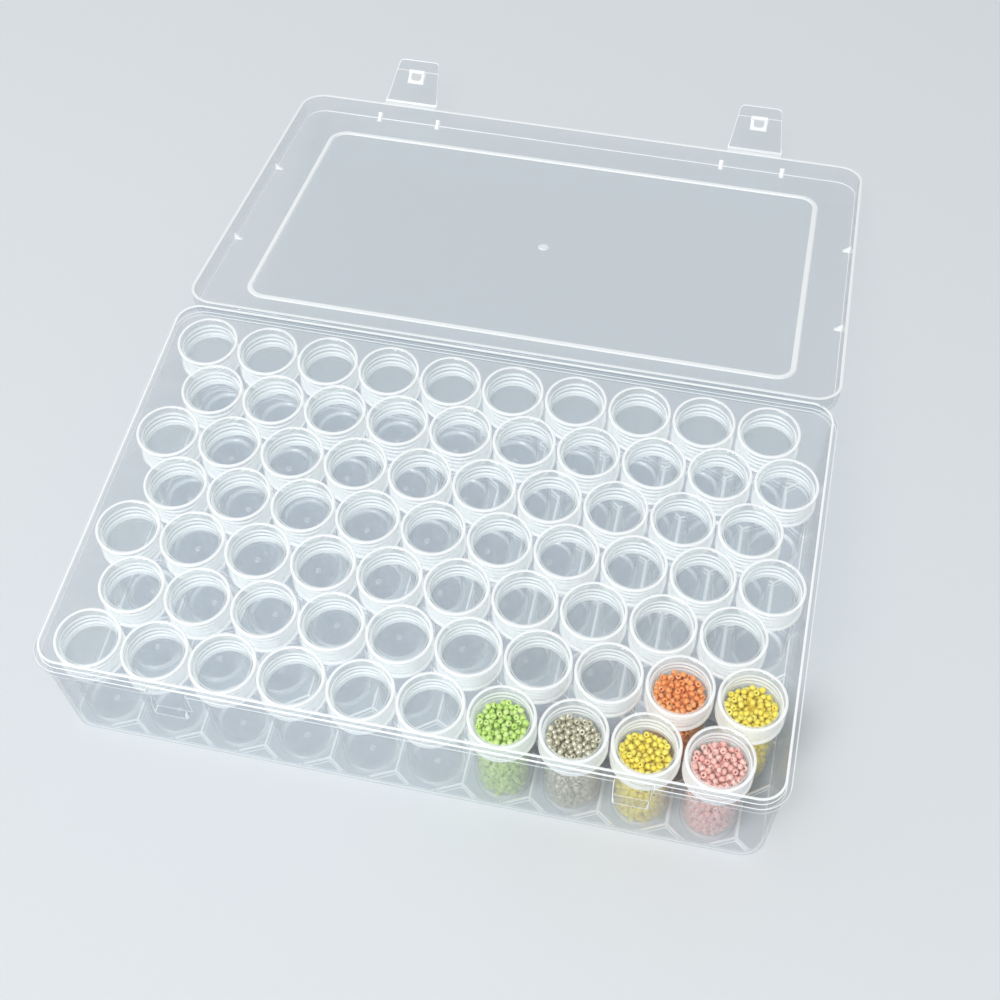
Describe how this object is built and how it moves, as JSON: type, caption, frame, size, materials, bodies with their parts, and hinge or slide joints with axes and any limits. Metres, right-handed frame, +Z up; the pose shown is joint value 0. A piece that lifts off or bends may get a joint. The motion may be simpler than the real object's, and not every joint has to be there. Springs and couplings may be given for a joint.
{
  "type": "diamond painting storage box",
  "caption": "Flat clear plastic box with a living-hinged lid and snap latches, holding rows of small screw-cap jars for beads in honeycomb floor cells.",
  "frame": {"origin": "centre of the tray's underside", "axes": "+X along the box to the right seen from its front, +Y from the latches towards the hinge and the open lid, +Z up"},
  "size_m": [0.278, 0.3779, 0.0555],
  "materials": {
    "box_plastic": "clear moulded polypropylene, slightly milky, glossy",
    "jar_plastic": "clear moulded polystyrene, glossy",
    "cap_plastic": "translucent white moulded polypropylene",
    "green_beads": "glossy seed beads",
    "bronze_beads": "metallic seed beads",
    "yellow_beads": "glossy seed beads",
    "pink_beads": "glossy seed beads",
    "orange_beads": "glossy seed beads"
  },
  "bodies": {
    "tray": {"base_tray": "box_plastic", "left_hinge_web": "box_plastic", "middle_hinge_web": "box_plastic", "right_hinge_web": "box_plastic"},
    "lid": {"lid": "box_plastic"},
    "left_latch": {"left_latch": "box_plastic"},
    "right_latch": {"right_latch": "box_plastic"},
    "jars_row_1": {"jars_row_1": "jar_plastic"},
    "caps_row_1": {"caps_row_1": "cap_plastic"},
    "jars_row_2": {"jars_row_2": "jar_plastic"},
    "caps_row_2": {"caps_row_2": "cap_plastic"},
    "jars_row_3": {"jars_row_3": "jar_plastic"},
    "caps_row_3": {"caps_row_3": "cap_plastic"},
    "jars_row_4": {"jars_row_4": "jar_plastic"},
    "caps_row_4": {"caps_row_4": "cap_plastic"},
    "jars_row_5": {"jars_row_5": "jar_plastic"},
    "caps_row_5": {"caps_row_5": "cap_plastic"},
    "jars_row_6": {"jars_row_6": "jar_plastic"},
    "caps_row_6": {"caps_row_6": "cap_plastic"},
    "jars_row_7": {"jars_row_7": "jar_plastic"},
    "caps_row_7": {"caps_row_7": "cap_plastic"},
    "green_jar": {"green_jar": "jar_plastic", "green_beads": "green_beads"},
    "green_cap": {"green_cap": "cap_plastic"},
    "bronze_jar": {"bronze_jar": "jar_plastic", "bronze_beads": "bronze_beads"},
    "bronze_cap": {"bronze_cap": "cap_plastic"},
    "yellow_front_jar": {"yellow_front_jar": "jar_plastic", "yellow_front_beads": "yellow_beads"},
    "yellow_front_cap": {"yellow_front_cap": "cap_plastic"},
    "pink_jar": {"pink_jar": "jar_plastic", "pink_beads": "pink_beads"},
    "pink_cap": {"pink_cap": "cap_plastic"},
    "orange_jar": {"orange_jar": "jar_plastic", "orange_beads": "orange_beads"},
    "orange_cap": {"orange_cap": "cap_plastic"},
    "yellow_back_jar": {"yellow_back_jar": "jar_plastic", "yellow_back_beads": "yellow_beads"},
    "yellow_back_cap": {"yellow_back_cap": "cap_plastic"}
  },
  "joints": [
    {"name": "lid_hinge", "type": "hinge", "parent": "tray", "child": "lid", "pos_m": [0, 0.08985, 0.0522], "axis": [-1, 0, 0], "range_deg": [-192.26, 0]},
    {"name": "left_latch_hinge", "type": "hinge", "parent": "lid", "child": "left_latch", "pos_m": [-0.086, 0.26558, 0.01345], "axis": [-1, 0, 0], "range_deg": [-52, 38]},
    {"name": "right_latch_hinge", "type": "hinge", "parent": "lid", "child": "right_latch", "pos_m": [0.086, 0.26558, 0.01345], "axis": [-1, 0, 0], "range_deg": [-52, 38]},
    {"name": "jars_row_1_lift", "type": "slide", "parent": "tray", "child": "jars_row_1", "axis": [0, 0, 1], "range_m": [0, 0.06]},
    {"name": "caps_row_1_lift", "type": "slide", "parent": "jars_row_1", "child": "caps_row_1", "axis": [0, 0, 1], "range_m": [0, 0.03]},
    {"name": "jars_row_2_lift", "type": "slide", "parent": "tray", "child": "jars_row_2", "axis": [0, 0, 1], "range_m": [0, 0.06]},
    {"name": "caps_row_2_lift", "type": "slide", "parent": "jars_row_2", "child": "caps_row_2", "axis": [0, 0, 1], "range_m": [0, 0.03]},
    {"name": "jars_row_3_lift", "type": "slide", "parent": "tray", "child": "jars_row_3", "axis": [0, 0, 1], "range_m": [0, 0.06]},
    {"name": "caps_row_3_lift", "type": "slide", "parent": "jars_row_3", "child": "caps_row_3", "axis": [0, 0, 1], "range_m": [0, 0.03]},
    {"name": "jars_row_4_lift", "type": "slide", "parent": "tray", "child": "jars_row_4", "axis": [0, 0, 1], "range_m": [0, 0.06]},
    {"name": "caps_row_4_lift", "type": "slide", "parent": "jars_row_4", "child": "caps_row_4", "axis": [0, 0, 1], "range_m": [0, 0.03]},
    {"name": "jars_row_5_lift", "type": "slide", "parent": "tray", "child": "jars_row_5", "axis": [0, 0, 1], "range_m": [0, 0.06]},
    {"name": "caps_row_5_lift", "type": "slide", "parent": "jars_row_5", "child": "caps_row_5", "axis": [0, 0, 1], "range_m": [0, 0.03]},
    {"name": "jars_row_6_lift", "type": "slide", "parent": "tray", "child": "jars_row_6", "axis": [0, 0, 1], "range_m": [0, 0.06]},
    {"name": "caps_row_6_lift", "type": "slide", "parent": "jars_row_6", "child": "caps_row_6", "axis": [0, 0, 1], "range_m": [0, 0.03]},
    {"name": "jars_row_7_lift", "type": "slide", "parent": "tray", "child": "jars_row_7", "axis": [0, 0, 1], "range_m": [0, 0.06]},
    {"name": "caps_row_7_lift", "type": "slide", "parent": "jars_row_7", "child": "caps_row_7", "axis": [0, 0, 1], "range_m": [0, 0.03]},
    {"name": "green_jar_lift", "type": "slide", "parent": "tray", "child": "green_jar", "axis": [0, 0, 1], "range_m": [0, 0.06]},
    {"name": "green_cap_lift", "type": "slide", "parent": "green_jar", "child": "green_cap", "axis": [0, 0, 1], "range_m": [0, 0.03]},
    {"name": "bronze_jar_lift", "type": "slide", "parent": "tray", "child": "bronze_jar", "axis": [0, 0, 1], "range_m": [0, 0.06]},
    {"name": "bronze_cap_lift", "type": "slide", "parent": "bronze_jar", "child": "bronze_cap", "axis": [0, 0, 1], "range_m": [0, 0.03]},
    {"name": "yellow_front_jar_lift", "type": "slide", "parent": "tray", "child": "yellow_front_jar", "axis": [0, 0, 1], "range_m": [0, 0.06]},
    {"name": "yellow_front_cap_lift", "type": "slide", "parent": "yellow_front_jar", "child": "yellow_front_cap", "axis": [0, 0, 1], "range_m": [0, 0.03]},
    {"name": "pink_jar_lift", "type": "slide", "parent": "tray", "child": "pink_jar", "axis": [0, 0, 1], "range_m": [0, 0.06]},
    {"name": "pink_cap_lift", "type": "slide", "parent": "pink_jar", "child": "pink_cap", "axis": [0, 0, 1], "range_m": [0, 0.03]},
    {"name": "orange_jar_lift", "type": "slide", "parent": "tray", "child": "orange_jar", "axis": [0, 0, 1], "range_m": [0, 0.06]},
    {"name": "orange_cap_lift", "type": "slide", "parent": "orange_jar", "child": "orange_cap", "axis": [0, 0, 1], "range_m": [0, 0.03]},
    {"name": "yellow_back_jar_lift", "type": "slide", "parent": "tray", "child": "yellow_back_jar", "axis": [0, 0, 1], "range_m": [0, 0.06]},
    {"name": "yellow_back_cap_lift", "type": "slide", "parent": "yellow_back_jar", "child": "yellow_back_cap", "axis": [0, 0, 1], "range_m": [0, 0.03]}
  ]
}
